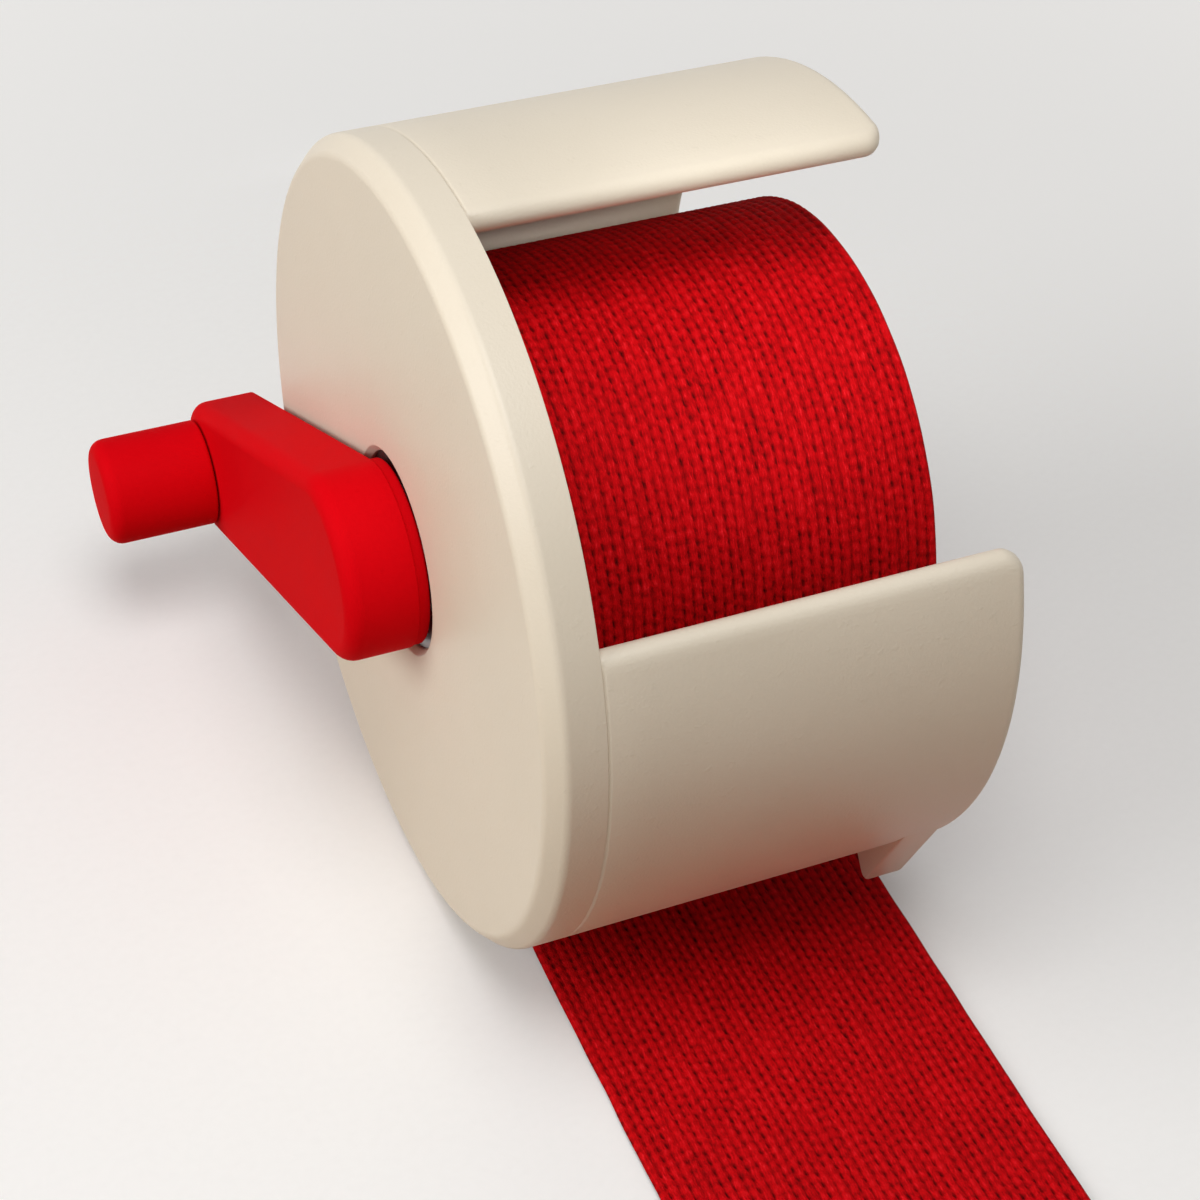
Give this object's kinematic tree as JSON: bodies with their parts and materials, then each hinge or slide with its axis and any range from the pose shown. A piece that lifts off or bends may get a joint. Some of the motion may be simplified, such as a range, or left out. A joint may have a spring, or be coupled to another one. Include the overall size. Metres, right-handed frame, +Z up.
{
  "type": "hand wrap roller",
  "caption": "Open cream drum with a side crank and forked spindle that winds a long red cloth hand wrap into a tight roll; the wrap's tail runs out below the front shell.",
  "frame": {"origin": "middle of the small resting flat under the end disc's rim", "axes": "+X along the spindle from the crank side to the open end, +Y away from the window, +Z up"},
  "size_m": [0.0876, 0.2382, 0.105],
  "materials": {
    "drum_plastic": "satin cream plastic with a fine moulded grain",
    "crank_plastic": "matte red plastic",
    "wrap_cloth": "ribbed woven cotton, deep red",
    "loop_tape": "woven cotton tape, deep red",
    "steel": "plain steel",
    "bearing_steel": "ground bearing steel",
    "brass": "knurled brass",
    "bronze": "sintered bronze"
  },
  "bodies": {
    "housing": {"end_disc": "drum_plastic", "rear_shell": "drum_plastic", "front_shell": "drum_plastic", "shell_screws": "steel", "disc_inserts": "brass", "bearing_outer_ring": "bearing_steel", "bearing_shield_outer": "bearing_steel", "bearing_shield_inner": "bearing_steel"},
    "ball_set": {"bearing_balls": "bearing_steel", "bearing_cage": "bronze"},
    "spindle": {"bearing_inner_ring": "bearing_steel", "spindle_hub": "crank_plastic", "prong_upper": "steel", "prong_lower": "steel", "crank_arm": "crank_plastic", "crank_insert": "brass", "crank_screw": "steel", "knob_bush": "bronze"},
    "knob": {"crank_knob": "crank_plastic", "knob_pin": "steel", "knob_clip": "steel"},
    "roll": {"wrap_core": "wrap_cloth", "wrap_outer_turn": "wrap_cloth", "wrap_inner_end": "wrap_cloth"},
    "tail": {"wrap_tail": "wrap_cloth", "thumb_loop": "loop_tape", "loop_patch": "loop_tape"}
  },
  "joints": [
    {"name": "crank_spin", "type": "hinge", "parent": "housing", "child": "spindle", "pos_m": [0, 0, 0.052], "axis": [1, 0, 0], "continuous": true},
    {"name": "ball_orbit", "type": "hinge", "parent": "housing", "child": "ball_set", "pos_m": [0, 0, 0.052], "axis": [1, 0, 0], "continuous": true},
    {"name": "knob_spin", "type": "hinge", "parent": "spindle", "child": "knob", "pos_m": [-0.0147, 0.05619, 0.0258], "axis": [1, 0, 0], "continuous": true},
    {"name": "roll_slide", "type": "slide", "parent": "spindle", "child": "roll", "axis": [1, 0, 0], "range_m": [0, 0.06]},
    {"name": "tail_slide", "type": "slide", "parent": "housing", "child": "tail", "axis": [1, 0, 0], "range_m": [0, 0.06]}
  ],
  "couplings": [
    {"joint": "ball_orbit", "follows": "crank_spin", "ratio": 0.44419},
    {"joint": "tail_slide", "follows": "roll_slide", "ratio": 1}
  ]
}
